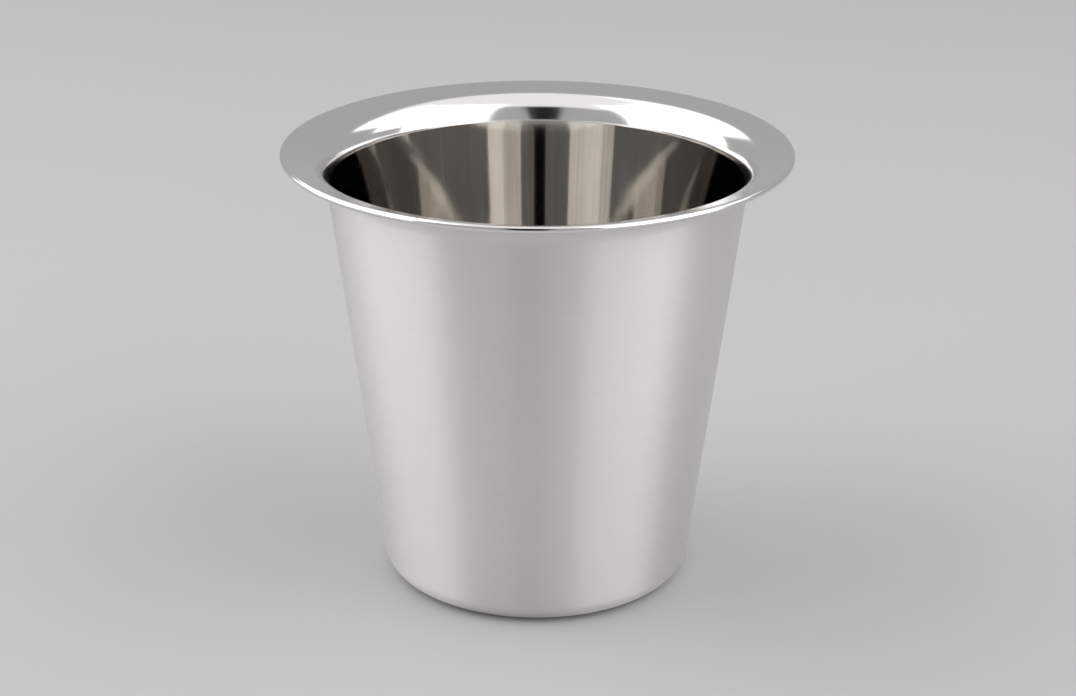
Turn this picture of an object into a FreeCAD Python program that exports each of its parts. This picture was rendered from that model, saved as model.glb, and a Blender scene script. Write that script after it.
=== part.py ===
import FreeCAD, Part
import math
import os

import Sketcher

# Deep drawn cup: one disc of stainless steel sheet, drawn into a tapered cup with a flat base.
# At the mouth the sheet turns outwards over a rounded throat into a rising flange, and the
# flange's edge is folded back under itself, so that no cut edge shows or can be touched.
#
# Frame: millimetres, +Z up along the cup's axis, origin at the centre of the base's underside.
# Every line and arc of the section below belongs to one of the sheet's two sides. The outer
# side is the one that stands on the table and is seen from outside; the inner side holds the
# contents and runs on over the throat as the flange's top.

NODE = "cup"

SIZES = [
    ("cup_height", 106.0, "from the table to the highest point of the folded edge"),
    ("base_diameter", 74.0, "outside, where the lines of the wall and the base would meet"),
    ("mouth_diameter", 100.0, "outside, where the lines of the wall and the flange would meet"),
    ("flange_width", 10.0, "level distance from there out to the folded edge"),
    ("flange_rise", 16.0, "degrees that the flange climbs towards its edge"),
    ("sheet_thickness", 0.7, "the same all over"),
    ("base_corner_radius", 5.0, "outside radius between base and wall"),
    ("throat_radius", 7.5, "inside radius between wall and flange, on the polished side"),
    ("fold_gap", 0.2, "slit left between the flange and its folded edge"),
    ("fold_width", 2.5, "flat part of the folded edge"),
]


# ---- the table of sizes ----------------------------------------------------------------

def make_size_table(doc):
    """Write every driving size into a spreadsheet, each cell with its own alias."""
    sizes = doc.addObject("Spreadsheet::Sheet", "Sizes")
    for row, (name, value, meaning) in enumerate(SIZES, start=1):
        sizes.set("A%d" % row, name)
        sizes.set("B%d" % row, str(value))
        sizes.set("C%d" % row, meaning)
        sizes.setAlias("B%d" % row, name)
    doc.recompute()
    return sizes


# ---- where the section's arcs have their centres ----------------------------------------

def flat(x, y):
    """A point or a direction in the sketch plane: x is the radius, y is the height."""
    return FreeCAD.Vector(x, y, 0)


def meet(normal_a, offset_a, normal_b, offset_b):
    """The point where two lines cross, each given by its normal and its offset along it."""
    spread = normal_a.x * normal_b.y - normal_a.y * normal_b.x
    x = (offset_a * normal_b.y - offset_b * normal_a.y) / spread
    y = (normal_a.x * offset_b - normal_b.x * offset_a) / spread
    return flat(x, y)


class Section:
    """Directions, centres and radii of the sheet's section, worked out from the sizes."""

    def __init__(self, sizes):
        rise = math.radians(sizes.flange_rise)
        thickness = sizes.sheet_thickness
        self.corner_outer = sizes.base_corner_radius
        self.corner_inner = self.corner_outer - thickness
        self.throat_inner = sizes.throat_radius
        self.throat_outer = self.throat_inner - thickness
        self.slit_half = sizes.fold_gap / 2
        self.fold_outer = self.slit_half + thickness

        self.along_flange = flat(math.cos(rise), math.sin(rise))
        self.above_flange = flat(-math.sin(rise), math.cos(rise))
        mouth_radius = sizes.mouth_diameter / 2
        self.fold_centre = flat(mouth_radius + sizes.flange_width - self.fold_outer,
                                sizes.cup_height - self.fold_outer)
        flange_under = self.above_flange.dot(self.fold_centre) + self.slit_half
        outwards = flat(1, 0)
        self.mouth_edge = meet(outwards, mouth_radius, self.above_flange, flange_under)

        # The wall runs straight from the edge of the base to the edge of the mouth.
        self.base_edge = flat(sizes.base_diameter / 2, 0)
        taper = math.atan2(self.mouth_edge.x - self.base_edge.x, self.mouth_edge.y)
        self.out_of_wall = flat(math.cos(taper), -math.sin(taper))
        wall_outside = self.out_of_wall.dot(self.base_edge)

        corner_reach = self.corner_outer * math.tan((math.pi / 2 - taper) / 2)
        self.corner_centre = flat(self.base_edge.x - corner_reach, self.corner_outer)
        # The throat's arcs lie below the flange and outside the wall, and touch both.
        self.throat_centre = meet(self.above_flange, flange_under - self.throat_outer,
                                  self.out_of_wall, wall_outside + self.throat_outer)


# ---- the sketch of the section -------------------------------------------------------------

class Outline:
    """Draws a chain of lines and arcs in a sketch and remembers both ends of each one."""

    def __init__(self, sketch):
        self.sketch = sketch
        self.place = {}    # name -> index of the curve in the sketch
        self.ends = {}     # name -> (point number where the chain enters, where it leaves)

    def line(self, name, start, end):
        self.place[name] = self.sketch.addGeometry(Part.LineSegment(start, end), False)
        self.ends[name] = (1, 2)

    def arc(self, name, centre, radius, start, end, leftwards):
        """Sketch arcs always run leftwards, so one that turns right is entered at its far end."""
        first, last = (start, end) if leftwards else (end, start)
        angles = [math.atan2(p.y - centre.y, p.x - centre.x) for p in (first, last)]
        circle = Part.Circle(centre, FreeCAD.Vector(0, 0, 1), radius)
        self.place[name] = self.sketch.addGeometry(Part.ArcOfCircle(circle, *angles), False)
        self.ends[name] = (1, 2) if leftwards else (2, 1)

    def join(self, kind, before, after):
        """Tangent joins run on smoothly, Coincident joins leave a corner."""
        self.sketch.addConstraint(Sketcher.Constraint(
            kind, self.place[before], self.ends[before][1], self.place[after], self.ends[after][0]))

    def same_centre(self, one, other):
        self.sketch.addConstraint(Sketcher.Constraint(
            "Coincident", self.place[one], 3, self.place[other], 3))

    def halve(self, line, arc):
        """Put the arc's centre at the middle of the line."""
        self.sketch.addConstraint(Sketcher.Constraint(
            "Symmetric", self.place[line], 1, self.place[line], 2, self.place[arc], 3))

    def relate(self, kind, *names):
        """Horizontal, Vertical, Parallel or Perpendicular lines."""
        self.sketch.addConstraint(Sketcher.Constraint(kind, *[self.place[name] for name in names]))

    def size(self, label, constraint, formula):
        """Name a dimension and tie it to the table of sizes."""
        index = self.sketch.addConstraint(constraint)
        self.sketch.renameConstraint(index, label)
        self.sketch.setExpression("Constraints." + label, formula)

    def meeting_point(self, label, one, other, point, formula):
        """Set how far from the axis two lines of the outline would meet."""
        mark = self.sketch.addGeometry(Part.Point(point), True)
        for name in (one, other):
            self.sketch.addConstraint(Sketcher.Constraint(
                "PointOnObject", mark, 1, self.place[name]))
        self.size(label, Sketcher.Constraint("DistanceX", -1, 1, mark, 1, point.x), formula)


def draw_outer_side(outline, section):
    """The side that is seen from outside, from the axis out to the fold."""
    corner, throat, fold = section.corner_centre, section.throat_centre, section.fold_centre
    across, above = section.out_of_wall, section.above_flange
    axis_foot = flat(0, 0)
    base_end = flat(corner.x, 0)
    wall_foot = corner + across * section.corner_outer
    wall_top = throat - across * section.throat_outer
    flange_root = throat + above * section.throat_outer
    slit_top = fold + above * section.slit_half
    slit_bottom = fold - above * section.slit_half
    outline.line("base_under", axis_foot, base_end)
    outline.arc("corner_outside", corner, section.corner_outer, base_end, wall_foot, True)
    outline.line("wall_outside", wall_foot, wall_top)
    outline.arc("throat_under", throat, section.throat_outer, wall_top, flange_root, False)
    outline.line("flange_under", flange_root, slit_top)
    outline.line("slit_end", slit_top, slit_bottom)


def draw_folded_edge(outline, section, fold_width):
    """The strip folded back under the flange, which ends in the sheet's cut edge."""
    fold = section.fold_centre
    above = section.above_flange
    back = section.along_flange * fold_width
    slit_bottom = fold - above * section.slit_half
    fold_under = fold - above * section.fold_outer
    outline.line("strip_top", slit_bottom, slit_bottom - back)
    outline.line("strip_cut_edge", slit_bottom - back, fold_under - back)
    outline.line("strip_under", fold_under - back, fold_under)


def draw_inner_side(outline, section, thickness):
    """The polished side, from the fold over the flange and the throat down to the axis."""
    corner, throat, fold = section.corner_centre, section.throat_centre, section.fold_centre
    across, above = section.out_of_wall, section.above_flange
    fold_under = fold - above * section.fold_outer
    fold_top = fold + above * section.fold_outer
    flange_root = throat + above * section.throat_inner
    wall_top = throat - across * section.throat_inner
    wall_foot = corner + across * section.corner_inner
    floor_end = flat(corner.x, thickness)
    floor_middle = flat(0, thickness)
    outline.arc("fold_outside", fold, section.fold_outer, fold_under, fold_top, True)
    outline.line("flange_top", fold_top, flange_root)
    outline.arc("throat_top", throat, section.throat_inner, flange_root, wall_top, True)
    outline.line("wall_inside", wall_top, wall_foot)
    outline.arc("corner_inside", corner, section.corner_inner, wall_foot, floor_end, False)
    outline.line("floor", floor_end, floor_middle)
    outline.line("axis", floor_middle, flat(0, 0))


def join_outline(outline):
    """Every bend is smooth; the pressed slit, the cut edge and the axis make corners."""
    smooth = [
        ("base_under", "corner_outside", "wall_outside", "throat_under", "flange_under"),
        ("strip_under", "fold_outside", "flange_top", "throat_top", "wall_inside",
         "corner_inside", "floor"),
    ]
    for chain in smooth:
        for before, after in zip(chain, chain[1:]):
            outline.join("Tangent", before, after)
    sharp = [
        ("flange_under", "slit_end", "strip_top", "strip_cut_edge", "strip_under"),
        ("floor", "axis", "base_under"),
    ]
    for chain in sharp:
        for before, after in zip(chain, chain[1:]):
            outline.join("Coincident", before, after)
    outline.same_centre("corner_outside", "corner_inside")
    outline.same_centre("throat_under", "throat_top")
    outline.halve("slit_end", "fold_outside")
    outline.relate("Horizontal", "base_under")
    outline.relate("Horizontal", "floor")
    outline.relate("Vertical", "axis")
    outline.relate("Parallel", "strip_top", "flange_under")
    outline.relate("Perpendicular", "slit_end", "flange_under")
    outline.relate("Perpendicular", "strip_top", "strip_cut_edge")
    outline.relate("Perpendicular", "strip_cut_edge", "strip_under")


def size_outline(outline, section):
    """Dimensions: the base, the mouth, the flange's climb, five radii, the fold and its slit."""
    sketch, place = outline.sketch, outline.place
    origin, horizontal = (-1, 1), -1
    sketch.addConstraint(Sketcher.Constraint("Coincident", place["base_under"], 1, *origin))

    outline.meeting_point("base_radius", "base_under", "wall_outside", section.base_edge,
                          "Sizes.base_diameter / 2")
    outline.meeting_point("mouth_radius", "wall_outside", "flange_under", section.mouth_edge,
                          "Sizes.mouth_diameter / 2")
    climb = math.atan2(section.along_flange.y, section.along_flange.x)
    outline.size("flange_climb", Sketcher.Constraint(
        "Angle", horizontal, 1, place["flange_under"], 1, climb), "Sizes.flange_rise * 1 deg")

    radii = [
        ("corner_outside", section.corner_outer, "Sizes.base_corner_radius"),
        ("corner_inside", section.corner_inner, "Sizes.base_corner_radius - Sizes.sheet_thickness"),
        ("throat_top", section.throat_inner, "Sizes.throat_radius"),
        ("throat_under", section.throat_outer, "Sizes.throat_radius - Sizes.sheet_thickness"),
        ("fold_outside", section.fold_outer, "Sizes.fold_gap / 2 + Sizes.sheet_thickness"),
    ]
    for name, radius, formula in radii:
        outline.size(name + "_radius", Sketcher.Constraint("Radius", place[name], radius), formula)

    fold_radius = "(Sizes.fold_gap / 2 + Sizes.sheet_thickness)"
    outline.size("fold_from_axis", Sketcher.Constraint(
        "DistanceX", *origin, place["fold_outside"], 3, section.fold_centre.x),
        "Sizes.mouth_diameter / 2 + Sizes.flange_width - " + fold_radius)
    outline.size("fold_height", Sketcher.Constraint(
        "DistanceY", *origin, place["fold_outside"], 3, section.fold_centre.y),
        "Sizes.cup_height - " + fold_radius)
    outline.size("slit_width", Sketcher.Constraint(
        "Distance", place["slit_end"], 2 * section.slit_half), "Sizes.fold_gap")


def origin_plane(body, role):
    """The body's own origin plane, found by its role and not by its name."""
    return next(plane for plane in body.Origin.OriginFeatures if plane.Role == role)


def make_cup(doc, sizes):
    """Sketch the sheet's section on the XZ plane and turn it once round the axis."""
    body = doc.addObject("PartDesign::Body", "Cup")
    body.Label = NODE
    body.Placement = FreeCAD.Placement()
    sketch = body.newObject("Sketcher::SketchObject", "SheetSection")
    sketch.AttachmentSupport = (origin_plane(body, "XZ_Plane"), [""])
    sketch.MapMode = "FlatFace"

    section = Section(sizes)
    outline = Outline(sketch)
    draw_outer_side(outline, section)
    draw_folded_edge(outline, section, sizes.fold_width)
    draw_inner_side(outline, section, sizes.sheet_thickness)
    join_outline(outline)
    size_outline(outline, section)
    outline.size("strip_width", Sketcher.Constraint(
        "Distance", outline.place["strip_top"], sizes.fold_width), "Sizes.fold_width")
    doc.recompute()

    turn = body.newObject("PartDesign::Revolution", "DrawnSheet")
    turn.Profile = (sketch, [""])
    turn.ReferenceAxis = (sketch, ["V_Axis"])
    turn.Angle = 360
    sketch.Visibility = False
    body.Tip = turn
    return body


# ---- checks and export -------------------------------------------------------------------

def check_document(doc):
    """recompute() can leave an object failed without raising, so each State is read."""
    for item in doc.Objects:
        if "Invalid" in item.State or "Error" in item.State:
            raise RuntimeError("%s did not build: %s" % (item.Label, item.State))
    print("section fully constrained:", doc.getObject("SheetSection").FullyConstrained)


def check_shape(body):
    shape = body.Shape
    if shape.isNull() or not shape.isValid() or len(shape.Solids) != 1:
        raise RuntimeError("%s is not one valid solid" % body.Label)
    box = shape.optimalBoundingBox()
    print("%s: %.2f x %.2f x %.2f mm, lowest point at z = %.3f" % (
        body.Label, box.XLength, box.YLength, box.ZLength, box.ZMin))
    print("metal volume %.0f mm3, surface %.0f mm2" % (shape.Volume, shape.Area))


def main():
    doc = FreeCAD.newDocument("DeepDrawnCup")
    sizes = make_size_table(doc)
    body = make_cup(doc, sizes)
    doc.recompute()
    check_document(doc)
    check_shape(body)
    os.makedirs("parts", exist_ok=True)
    body.Shape.exportStep(os.path.join("parts", body.Label + ".step"))


main()
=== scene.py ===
# %% [markdown]
# # A deep drawn steel cup
#
# The cup is one disc of stainless steel sheet. A press has drawn it into a tapered cup, turned
# its mouth outwards into a wide flange, and folded the flange's edge under. The outside is
# satin, brushed round the cup. The inside has the bright skin of drawn sheet, and the throat,
# the flange and the folded edge are polished. So there is a single piece to make, and nearly
# all of its beauty is in how three finishes of the same metal pick up the lights around it.
#
# The frame comes first. It brings in the model, which stays exactly where it is.

# %% Load the frame
import math

import bpy
from mathutils import Matrix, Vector
import numpy as np


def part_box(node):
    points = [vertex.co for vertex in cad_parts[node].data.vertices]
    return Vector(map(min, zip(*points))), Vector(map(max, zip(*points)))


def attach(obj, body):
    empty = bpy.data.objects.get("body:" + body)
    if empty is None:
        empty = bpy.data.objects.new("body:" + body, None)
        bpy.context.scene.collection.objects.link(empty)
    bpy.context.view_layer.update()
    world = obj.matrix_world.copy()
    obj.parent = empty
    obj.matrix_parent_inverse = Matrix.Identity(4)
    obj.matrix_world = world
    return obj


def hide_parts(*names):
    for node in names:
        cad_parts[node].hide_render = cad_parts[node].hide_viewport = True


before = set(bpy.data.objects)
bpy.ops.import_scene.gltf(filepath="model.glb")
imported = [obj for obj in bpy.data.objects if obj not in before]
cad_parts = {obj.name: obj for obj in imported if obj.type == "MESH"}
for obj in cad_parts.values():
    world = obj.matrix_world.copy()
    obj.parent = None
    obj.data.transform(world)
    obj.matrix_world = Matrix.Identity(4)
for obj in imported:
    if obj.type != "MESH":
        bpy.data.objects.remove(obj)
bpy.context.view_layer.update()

lowest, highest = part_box("cup")
print("frame holds:", sorted(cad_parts), "height %.4f m" % (highest[2] - lowest[2]))

# %% [markdown]
# ## The section of the sheet
#
# A deep drawn cup is a body of revolution, so its whole form is in one section: a thin band
# that starts at the middle of the base and ends in the folded edge. The sheet keeps one
# thickness all the way. The overall sizes are read from the frame. The rest, such as the
# base's radius, the sheet's thickness and the bending radii, are named here in metres, with
# the values that the model was built from.

# %% Sizes of the cup
HEIGHT = highest[2]
FLANGE_RADIUS = min(-lowest[0], highest[0], -lowest[1], highest[1])
SHEET = 0.0007
BASE_RADIUS = 0.037
FLANGE_WIDTH = 0.010
FLANGE_RISE = math.radians(16)
CORNER_BEND = 0.0050
THROAT_BEND = 0.0075
SLIT = 0.0002
FOLD_WIDTH = 0.0025
MOUTH_RADIUS = FLANGE_RADIUS - FLANGE_WIDTH
FOLD_BEND = SLIT / 2 + SHEET
print("cup: %.1f mm across the flange, %.1f mm high" % (2000 * FLANGE_RADIUS, 1000 * HEIGHT))

# %% [markdown]
# ## Runs that know their normals
#
# Reflections in polished metal show every fault of a surface, and they are judged by the
# surface's normals and not by its points. A mesh that only smooths its faces guesses those
# normals, and the mirror ripples. Here each straight run and each bend of the section knows
# the exact normals of its own form, and hands them on to the mesh together with its points.
# Only the inside wall gets other normals than those, on purpose, in the next step.

# %% Straight runs and bends of the section
def along(angle):
    """The direction at this angle in the section, where x is the radius and y the height."""
    return np.array((math.cos(angle), math.sin(angle)))


def straight(finish, start, end, facing, steps=1):
    """A straight run: all of its points face the same way."""
    share = np.linspace(0, 1, steps + 1)[:, None]
    points = np.asarray(start) * (1 - share) + np.asarray(end) * share
    return {"finish": finish, "points": points, "normals": np.tile(facing, (steps + 1, 1))}


def bend(finish, centre, radius, first, last, steps, hollow=False):
    """A bend of the sheet. Its points face away from its centre, or towards it if hollow."""
    spokes = np.array([along(angle) for angle in np.linspace(first, last, steps + 1)])
    normals = -spokes if hollow else spokes
    return {"finish": finish, "points": centre + radius * spokes, "normals": normals}


print("each run holds its finish, its points and their normals")

# %% [markdown]
# ## An inside wall that leans for its looks
#
# The inside wall is a mirror that faces itself. On an exact cone, light near the throat
# bounces once more before it leaves, and an extra row of reflections shows there. The normals
# of that wall therefore lean back a little on the way up to the throat, and the row goes. This
# is a choice for looks: how far they lean was picked from a few tries, and it isn't a
# measured form of the wall. The points stay on the straight wall of the model.

# %% Lean of the inside wall's normals
EASE = 1.7
EASE_HEIGHTS = (0.060, 0.084, 0.0984)
EASE_SHARES = (0.0, 0.8, 1.0)


def eased(run):
    """The same run, with normals that lean back where the wall nears the throat."""
    heights = run["points"][:, 1]
    ease = np.interp(heights, EASE_HEIGHTS, [EASE * share for share in EASE_SHARES])
    angles = np.arctan2(run["normals"][:, 1], run["normals"][:, 0]) + np.radians(ease)
    run["normals"] = np.stack([np.cos(angles), np.sin(angles)], axis=1)
    return run


print("the inside wall's normals lean back by up to %.1f degrees" % EASE)

# %% [markdown]
# ## From the underside to the inside floor
#
# The section is put together in the order in which a finger would follow it: out along the
# underside, up the outside wall, round the folded edge, back over the flange and down into
# the cup. The wall is a straight line from the edge of the base to the edge of the mouth, and
# the bends touch their neighbours without a corner, as bent sheet does. A bend gets many steps,
# so that it looks round. The inside wall gets many too, as its normals change on the way up.

# %% The cup's section
BASE_STEPS = 6
CORNER_STEPS = 16
WALL_STEPS = 10
THROAT_UNDER_STEPS = 14
STRIP_STEPS = 2
FOLD_STEPS = 20
FLANGE_STEPS = 4
THROAT_STEPS = 24
INSIDE_WALL_STEPS = 40


def cross(normal_a, offset_a, normal_b, offset_b):
    """The point where two lines cross, each given by its normal and its offset along it."""
    return np.linalg.solve(np.array((normal_a, normal_b)), np.array((offset_a, offset_b)))


def cup_section():
    """Every run of the sheet's section, from the middle of the underside to the inside floor."""
    flange = along(FLANGE_RISE)
    above = along(FLANGE_RISE + math.pi / 2)
    fold = np.array((FLANGE_RADIUS - FOLD_BEND, HEIGHT - FOLD_BEND))
    flange_under = above @ fold + SLIT / 2
    mouth_edge = cross((1, 0), MOUTH_RADIUS, above, flange_under)
    taper = math.atan2(mouth_edge[0] - BASE_RADIUS, mouth_edge[1])
    outwards = along(-taper)
    wall_line = outwards @ (BASE_RADIUS, 0)
    throat_under = THROAT_BEND - SHEET
    throat = cross(above, flange_under - throat_under, outwards, wall_line + throat_under)
    corner_x = BASE_RADIUS - CORNER_BEND * math.tan((math.pi / 2 - taper) / 2)
    corner = np.array((corner_x, CORNER_BEND))
    corner_inside = CORNER_BEND - SHEET
    strip = flange * FOLD_WIDTH
    slit_low, slit_high = fold - above * SLIT / 2, fold + above * SLIT / 2
    fold_low, fold_high = fold - above * FOLD_BEND, fold + above * FOLD_BEND
    up, down = np.array((0.0, 1.0)), np.array((0.0, -1.0))
    wall_turn, flange_turn = math.pi - taper, math.pi / 2 + FLANGE_RISE
    print("wall leans %.2f degrees, throat centred %.2f mm out" % (
        math.degrees(taper), 1000 * throat[0]))
    return [
        straight("brushed", (0, 0), (corner_x, 0), down, BASE_STEPS),
        bend("brushed", corner, CORNER_BEND, -math.pi / 2, -taper, CORNER_STEPS),
        straight("brushed", corner + outwards * CORNER_BEND, throat - outwards * throat_under,
                 outwards, WALL_STEPS),
        bend("brushed", throat, throat_under, wall_turn, flange_turn, THROAT_UNDER_STEPS,
             hollow=True),
        straight("brushed", throat + above * throat_under, slit_high, -above, STRIP_STEPS),
        straight("brushed", slit_high, slit_low, -flange),
        straight("brushed", slit_low, slit_low - strip, above, STRIP_STEPS),
        straight("brushed", slit_low - strip, fold_low - strip, -flange),
        straight("polished", fold_low - strip, fold_low, -above, STRIP_STEPS),
        bend("polished", fold, FOLD_BEND, FLANGE_RISE - math.pi / 2, flange_turn, FOLD_STEPS),
        straight("polished", fold_high, throat + above * THROAT_BEND, above, FLANGE_STEPS),
        bend("polished", throat, THROAT_BEND, flange_turn, wall_turn, THROAT_STEPS),
        eased(straight("drawn", throat - outwards * THROAT_BEND,
                       corner + outwards * corner_inside, -outwards, INSIDE_WALL_STEPS)),
        bend("drawn", corner, corner_inside, -taper, -math.pi / 2, CORNER_STEPS, hollow=True),
        straight("drawn", (corner_x, SHEET), (0, SHEET), up, BASE_STEPS),
    ]


section = cup_section()
print("section of", len(section), "runs")

# %% [markdown]
# ## Spinning the section into a mesh
#
# The section is turned round the axis in equal steps, as a potter's wheel would. Neighbouring
# runs share the ring of points between them, so the skin is closed. Where the sheet has a
# sharp corner, at the cut edge and in the slit, both runs keep their own normals on the shared
# ring, and the edge stays crisp without a modifier.

# %% Rings and the skin between them
TURNS = 512
ON_AXIS = 1e-9


def rows_and_strips(section):
    """The section's points in order, and the finish and the two normals of each step."""
    rows = [section[0]["points"][0]]
    strips = []
    for run in section:
        for k in range(len(run["points"]) - 1):
            rows.append(run["points"][k + 1])
            strips.append((run["finish"], run["normals"][k], run["normals"][k + 1]))
    return rows, strips


def rings(rows, spokes):
    """The points of all rings, and the number of each ring's first point."""
    vertices, first = [], []
    for radius, height in rows:
        first.append(len(vertices))
        if radius < ON_AXIS:
            vertices.append((0.0, 0.0, height))
        else:
            vertices += [(radius * c, radius * s, height) for c, s in spokes]
    return vertices, first


def skin(rows, strips, first, spokes):
    """The faces between neighbouring rings, their corners' normals and their finishes."""
    faces, corners, finishes = [], [], []
    for k, (finish, normal_in, normal_out) in enumerate(strips):
        start, end = first[k], first[k + 1]
        for j in range(len(spokes)):
            n = (j + 1) % len(spokes)
            ring = [(start + j, normal_in, j), (start + n, normal_in, n),
                    (end + n, normal_out, n), (end + j, normal_out, j)]
            if rows[k][0] < ON_AXIS:
                ring = [(start, normal_in, j), ring[2], ring[3]]
            elif rows[k + 1][0] < ON_AXIS:
                ring = [ring[0], ring[1], (end, normal_out, j)]
            faces.append([vertex for vertex, _, _ in ring])
            corners += [(m[0] * spokes[i][0], m[0] * spokes[i][1], m[1]) for _, m, i in ring]
            finishes.append(finish)
    return faces, corners, finishes


print("each ring has", TURNS, "points")

# %% [markdown]
# The rings and the skin become one mesh. It takes the place of the model in pictures
# and rides on the cup's only body. A finish is a slot in its list of materials, so no seam
# opens where the brushed and the polished sheet meet.

# %% Spin the section
def spin(name, section, turns):
    """A closed mesh of revolution with the runs' normals and one material index per finish."""
    angles = 2 * math.pi * np.arange(turns) / turns
    spokes = list(zip(np.cos(angles), np.sin(angles)))
    rows, strips = rows_and_strips(section)
    vertices, first = rings(rows, spokes)
    faces, corners, finishes = skin(rows, strips, first, spokes)
    mesh = bpy.data.meshes.new(name)
    mesh.from_pydata(vertices, [], faces)
    names = sorted(set(finishes))
    mesh.polygons.foreach_set("material_index", [names.index(finish) for finish in finishes])
    mesh.polygons.foreach_set("use_smooth", [True] * len(faces))
    mesh.update()
    mesh.normals_split_custom_set(corners)
    piece = bpy.data.objects.new(name, mesh)
    bpy.context.collection.objects.link(piece)
    print(name + ":", len(vertices), "points,", len(faces), "faces, finishes", names)
    return piece


cup = spin("drawn_cup", section, TURNS)
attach(cup, "root")
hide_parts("cup")

# %% [markdown]
# ## Writing finishes as sums
#
# A finish in Blender is a graph of nodes. Written out node by node it is long and hard to
# read, so this small class wraps the output of a node. Plus and times then add the Math
# nodes themselves, and one method adds any other node.

# %% A wire between nodes
class Wire:
    """The output of a node in a tree, with the sums that the finishes below need."""

    def __init__(self, tree, socket=None):
        self.tree = tree
        self.socket = socket

    def node(self, kind, settings=None, inputs=None, output=0):
        """Add a node: its settings first, then a value or a link for each of its sockets."""
        node = self.tree.nodes.new(kind)
        for name, value in (settings or {}).items():
            setattr(node, name, value)
        for name, value in (inputs or {}).items():
            if isinstance(value, Wire):
                self.tree.links.new(value.socket, node.inputs[name])
            else:
                node.inputs[name].default_value = value
        return Wire(self.tree, node.outputs[output] if node.outputs else None)

    def math(self, operation, *values):
        """A Math node on these numbers and wires."""
        return self.node("ShaderNodeMath", {"operation": operation}, dict(enumerate(values)))

    def __add__(self, other):
        return self.math("ADD", self, other)

    def __radd__(self, other):
        return self.math("ADD", other, self)

    def __mul__(self, other):
        return self.math("MULTIPLY", self, other)

    def __rmul__(self, other):
        return self.math("MULTIPLY", other, self)

    def scaled(self, x, y, z):
        """This place or direction, with each of its three parts times its own number."""
        return self.node("ShaderNodeVectorMath", {"operation": "MULTIPLY"},
                         {0: self, 1: (x, y, z)})

    def cloud(self, detail=2.0, roughness=0.5):
        """A soft random cloud from 0 to 1 over this place, about one lump to a unit."""
        return self.node("ShaderNodeTexNoise", {"noise_dimensions": "3D"}, {
            "Vector": self, "Scale": 1.0, "Detail": detail, "Roughness": roughness})

    def between(self, dark, light):
        """A colour that goes from dark to light as this value goes from 0 to 1."""
        # A Mix node has sockets for every kind of data: these are the factor and two colours.
        return self.node("ShaderNodeMix", {"data_type": "RGBA"}, {
            0: self, 6: (*dark, 1.0), 7: (*light, 1.0)}, output=2)


print("wires ready")

# %% [markdown]
# ## Bare steel
#
# The three finishes of the cup share one shader. Steel is a metal all through, so Metallic is
# a plain 1, and its colour is the colour of its reflections. What varies over the surface, its
# colour, its roughness and the height of its scratches, comes in as wires.

# %% Bare steel
BUMP_DEPTH = 0.0001


def new_finish(name):
    """An empty material, and a wire to start its nodes from."""
    material = bpy.data.materials.new(name)
    material.use_nodes = True
    material.node_tree.nodes.clear()
    return material, Wire(material.node_tree)


def place_on(start):
    """The place on the object, in metres."""
    return start.node("ShaderNodeTexCoord", output="Object")


def steel(start, color, roughness, height, bump, anisotropy=0.0, turn=0.0):
    """Bare steel. What varies over it comes as wires, and what doesn't as plain numbers."""
    normal = start.node("ShaderNodeBump", None, {
        "Strength": bump, "Distance": BUMP_DEPTH, "Height": height})
    shader = start.node("ShaderNodeBsdfPrincipled", None, {
        "Base Color": color, "Roughness": roughness, "Normal": normal, "Metallic": 1.0,
        "Anisotropic": anisotropy, "Anisotropic Rotation": turn})
    start.node("ShaderNodeOutputMaterial", None, {"Surface": shader})


print("bump at full strength is %.1f mm deep" % (1000 * BUMP_DEPTH))

# %% [markdown]
# ## Satin outside
#
# The outside is brushed while the cup spins on a mandrel. The belt leaves hair-fine lines that
# run round the cup, and they scatter light across themselves: a lamp is smeared into a tall
# band up the wall, while it stays narrow round the wall. One constant anisotropy does that,
# turned by a quarter so that the smear runs up the wall. The lines themselves are a cloud that
# is squeezed to a fraction of a millimetre in height and stretched to centimetres round the
# cup, among broader sweeps. They tip the surface, and vary how rough it is. The colours of
# this finish and of the next two were chosen, and aren't measured values of steel.

# %% The brushed finish
BRUSH_LINE = 0.00025
BRUSH_LENGTH = 0.018
SWEEPS_PER_LINE = 0.12
SATIN_DARK = (0.77, 0.752, 0.728)
SATIN_LIGHT = (0.87, 0.851, 0.828)
SATIN_ROUGHNESS = 0.35
SATIN_BUMP = 0.1
SMEAR = 0.88
QUARTER_TURN = 0.25


def brushed_steel():
    """Stainless steel brushed round the cup."""
    material, start = new_finish("brushed_steel")
    place = place_on(start)
    long = 1 / BRUSH_LENGTH
    lines = place.scaled(long, long, 1 / BRUSH_LINE).cloud(2.0, 0.6)
    sweeps = place.scaled(long, long, SWEEPS_PER_LINE / BRUSH_LINE).cloud(2.0, 0.6)
    clouds = place.scaled(30, 30, 18).cloud(3.0)
    color = (0.6 * lines + 0.4 * clouds).between(SATIN_DARK, SATIN_LIGHT)
    steel(start, color, SATIN_ROUGHNESS + 0.06 * lines + 0.04 * sweeps,
          0.7 * lines + 0.3 * sweeps, bump=SATIN_BUMP, anisotropy=SMEAR, turn=QUARTER_TURN)
    return material


brushed = brushed_steel()
print("brushed finish:", len(brushed.node_tree.nodes), "nodes")

# %% [markdown]
# ## Bright inside, polished flange
#
# The inside and the flange shine like a mirror, but a drawn mirror: the die has dragged the
# sheet along the wall and left faint streaks down it. They are a cloud laid over the direction
# from the axis, so that they run down the wall and out over the flange, and they make the
# mirror a little softer and darker in some places than in others. Two finishes come from this.
# The inside is a sharp mirror with a darker, warmer colour and strong streaks. The throat, the
# flange and the folded edge are lighter and more even, and blur what they show a little more.

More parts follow.
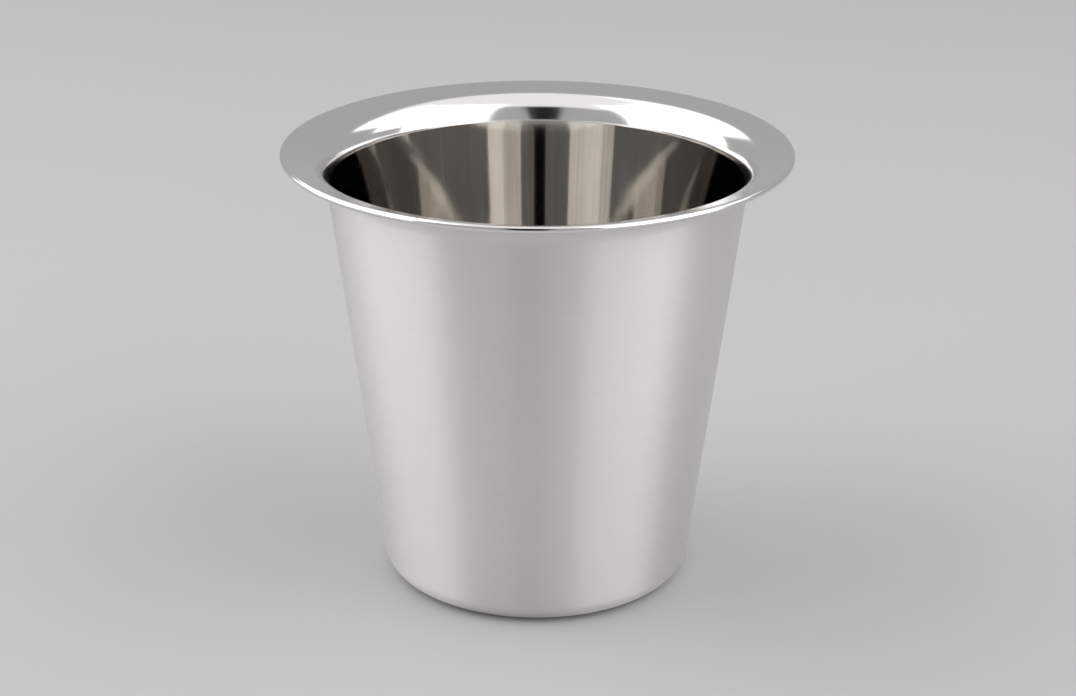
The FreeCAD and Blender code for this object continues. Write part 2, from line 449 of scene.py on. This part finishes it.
# %% The drawn and the polished finish
STREAKS = 60
STREAK_DRIFT = 12
MIRROR_BUMP = 0.03
POLISHED_DARK = (0.76, 0.75, 0.735)
POLISHED_LIGHT = (0.82, 0.81, 0.795)
POLISHED_ROUGHNESS = 0.10
DRAWN_DARK = (0.42, 0.399, 0.376)
DRAWN_LIGHT = (0.74, 0.717, 0.69)
DRAWN_ROUGHNESS = 0.01


def mirror_steel(name, dark, light, roughness):
    """Stainless steel with a mirror finish, and faint streaks along the draw."""
    material, start = new_finish(name)
    place = place_on(start)
    outwards = start.node("ShaderNodeVectorMath", {"operation": "NORMALIZE"},
                          {0: place.scaled(1, 1, 0)})
    rise = place.scaled(0, 0, STREAK_DRIFT)
    fine = start.node("ShaderNodeVectorMath", {"operation": "ADD"},
                      {0: outwards.scaled(STREAKS, STREAKS, STREAKS), 1: rise}).cloud(3.0, 0.6)
    clouds = place.scaled(60, 60, 40).cloud(3.0)
    color = (0.5 * fine + 0.5 * clouds).between(dark, light)
    steel(start, color, roughness + 0.04 * fine + 0.02 * clouds, 0.8 * fine + 0.2 * clouds,
          bump=MIRROR_BUMP)
    return material


polished = mirror_steel("polished_steel", POLISHED_DARK, POLISHED_LIGHT, POLISHED_ROUGHNESS)
drawn = mirror_steel("drawn_steel", DRAWN_DARK, DRAWN_LIGHT, DRAWN_ROUGHNESS)
# The slots of the mesh hold the finishes by name, in order: brushed, drawn, polished.
for material in (brushed, drawn, polished):
    cup.data.materials.append(material)
print("the cup wears", [material.name for material in cup.data.materials])

# %% [markdown]
# ## The table
#
# Polished steel has hardly any colour of its own: it shows its surroundings, so the studio
# is half of the material. The table is a large pale grey sheet with a dull, faintly uneven
# surface. It is so large that this camera doesn't find its edge, and it lies a hair below the
# cup, so that the two don't share a plane. It shows lighter than it is written, because the
# lights here are about a quarter stronger than plain.

# %% The table
TABLE_SIZE = 6.0
TABLE_GAP = 0.0001
TABLE_DARK = (0.442, 0.440, 0.443)
TABLE_LIGHT = (0.472, 0.470, 0.473)


def sheet(name, width, height):
    """A flat sheet of this size, face up."""
    x, y = width / 2, height / 2
    mesh = bpy.data.meshes.new(name)
    mesh.from_pydata([(-x, -y, 0), (x, -y, 0), (x, y, 0), (-x, y, 0)], [], [(0, 1, 2, 3)])
    item = bpy.data.objects.new(name, mesh)
    bpy.context.collection.objects.link(item)
    return item


def dull(start, color, roughness, specular):
    """A dull surface, its colour a wire or a plain colour."""
    shader = start.node("ShaderNodeBsdfPrincipled", None, {
        "Base Color": color, "Roughness": roughness, "Specular IOR Level": specular})
    start.node("ShaderNodeOutputMaterial", None, {"Surface": shader})


table = sheet("table", TABLE_SIZE, TABLE_SIZE)
table.location.z = -TABLE_GAP
pale, start = new_finish("pale_table")
color = place_on(start).scaled(2, 2, 2).cloud(3.0).between(TABLE_DARK, TABLE_LIGHT)
dull(start, color, roughness=0.8, specular=0.2)
table.data.materials.append(pale)
print("table: %.0f m wide" % TABLE_SIZE)

# %% [markdown]
# ## The soft boxes
#
# A row of upright soft boxes stands on each side of the cup, and a weak one hangs over it.
# Each upright box is placed by the direction in which the cup sees it, in degrees: how far
# round from the camera, how wide, its low and its high edge, and then how brightly it glows.
# They were set to bring the reflections near to where the real cup shows them. A
# box glows alike over its whole face, so its power is its glow times its area, times pi.

# %% Soft boxes
REACH = 1.2
LEFT_ROW = ((-69, 30, 0, 66, 1.7), (-97, 26, 0, 66, 2.0), (-120, 20, 3, 66, 1.3),
            (-147, 34, 28, 63, 1.0))
RIGHT_ROW = ((43, 30, 0, 66, 1.3), (71, 26, 2, 66, 2.1), (96, 24, 22, 66, 1.5),
             (121, 26, 32, 63, 1.0))


def facing_cup(item, turn, climb, distance, aim):
    """Put an item in a direction from a height on the cup's axis, turned to face it."""
    turn, climb = math.radians(turn), math.radians(climb)
    away = np.array((math.sin(turn) * math.cos(climb), -math.cos(turn) * math.cos(climb),
                     math.sin(climb)))
    item.location = np.array((0, 0, aim)) + away * distance
    item.rotation_euler = (math.pi / 2 - climb, 0, turn)


def light_wall(name, turn, width, low, high, glow):
    """An upright soft box of the given angles, as the cup sees it, and of the given glow."""
    bottom, top = (REACH * math.tan(math.radians(climb)) for climb in (low, high))
    lamp = bpy.data.lights.new(name, "AREA")
    lamp.shape = "RECTANGLE"
    lamp.size = 2 * REACH * math.tan(math.radians(width / 2))
    lamp.size_y = top - bottom
    lamp.energy = glow * math.pi * lamp.size * lamp.size_y
    box = bpy.data.objects.new(name, lamp)
    bpy.context.collection.objects.link(box)
    facing_cup(box, turn, 0, REACH, HEIGHT / 2 + (top + bottom) / 2)
    box.visible_camera = False


for side, row in (("left", LEFT_ROW), ("right", RIGHT_ROW)):
    for number, angles in enumerate(row):
        light_wall("soft_box_%s_%d" % (side, number + 1), *angles)
print("upright soft boxes:", len(LEFT_ROW) + len(RIGHT_ROW))

# %% [markdown]
# The box overhead is wide and weak. It adds a little light from above.

# %% The ceiling box
CEILING_SIZE = 1.5
CEILING_HEIGHT = 1.3
CEILING_GLOW = 0.55

ceiling = bpy.data.lights.new("ceiling_box", "AREA")
ceiling.size = CEILING_SIZE
ceiling.energy = CEILING_GLOW * math.pi * ceiling.size ** 2
ceiling_box = bpy.data.objects.new("ceiling_box", ceiling)
bpy.context.collection.objects.link(ceiling_box)
ceiling_box.location = (0, 0, CEILING_HEIGHT)
ceiling_box.visible_camera = False
print("ceiling box: %.1f m wide" % CEILING_SIZE)

# %% [markdown]
# ## The dark gap
#
# Between the two rows stands the camera, in a dark gap. The mirror inside the cup shows that
# gap as its black middle stripe. A black card makes it here. Only reflections see the card:
# the camera looks past it, and it throws no shadow.

# %% The dark card
CARD_WIDTH = 0.30
CARD_HEIGHT = 1.0
CARD_DISTANCE = 1.0
CARD_TURN = -4
CARD_CLIMB = 30
CARD_BLACK = (0.01, 0.01, 0.01, 1.0)

card = sheet("dark_card", CARD_WIDTH, CARD_HEIGHT)
facing_cup(card, CARD_TURN, CARD_CLIMB, CARD_DISTANCE, HEIGHT / 2)
black, start = new_finish("black_card")
dull(start, CARD_BLACK, roughness=0.9, specular=0.0)
card.data.materials.append(black)
card.visible_camera = False
card.visible_diffuse = False
card.visible_shadow = False
print("dark card: %.0f by %.0f cm" % (100 * CARD_WIDTH, 100 * CARD_HEIGHT))

# %% [markdown]
# ## The walls of the studio
#
# Everything that isn't a box, the card or the table is one even pale grey. The camera and the
# steel see the same grey.

# %% The world
WALL_GREY = (0.45, 0.45, 0.455, 1.0)

world = bpy.data.worlds.new("studio")
bpy.context.scene.world = world
world.use_nodes = True
world.node_tree.nodes.clear()
start = Wire(world.node_tree)
glow = start.node("ShaderNodeBackground", None, {"Color": WALL_GREY, "Strength": 1.0})
start.node("ShaderNodeOutputWorld", None, {"Surface": glow})
print("studio:", len(bpy.data.lights), "lamps")

# %% [markdown]
# ## The camera
#
# The camera looks down into the cup from half a metre away and a quarter of a metre up. It has
# a fairly long lens, so the cup keeps its proportions, and its tiny roll is that of a camera
# which doesn't stand quite level. The standard view shows colours as they are written.

# %% Camera
CAMERA_PLACE = (0.000284, -0.5148, 0.2583)
CAMERA_TILT = 0.3756
CAMERA_ROLL = 0.0034
SENSOR_WIDTH = 36.0
LENS_LENGTH = 76.6
NEAREST = 0.01

lens = bpy.data.cameras.new("camera")
lens.sensor_width = SENSOR_WIDTH
lens.lens = LENS_LENGTH
lens.clip_start = NEAREST
camera = bpy.data.objects.new("camera", lens)
bpy.context.collection.objects.link(camera)
tilt = Matrix.Rotation(math.pi / 2 - CAMERA_TILT, 4, "X")
roll = Matrix.Rotation(CAMERA_ROLL, 4, "Z")
camera.matrix_world = Matrix.Translation(CAMERA_PLACE) @ tilt @ roll
bpy.context.scene.camera = camera
bpy.context.scene.view_settings.view_transform = "Standard"
print("camera looks down by %.1f degrees" % math.degrees(CAMERA_TILT))
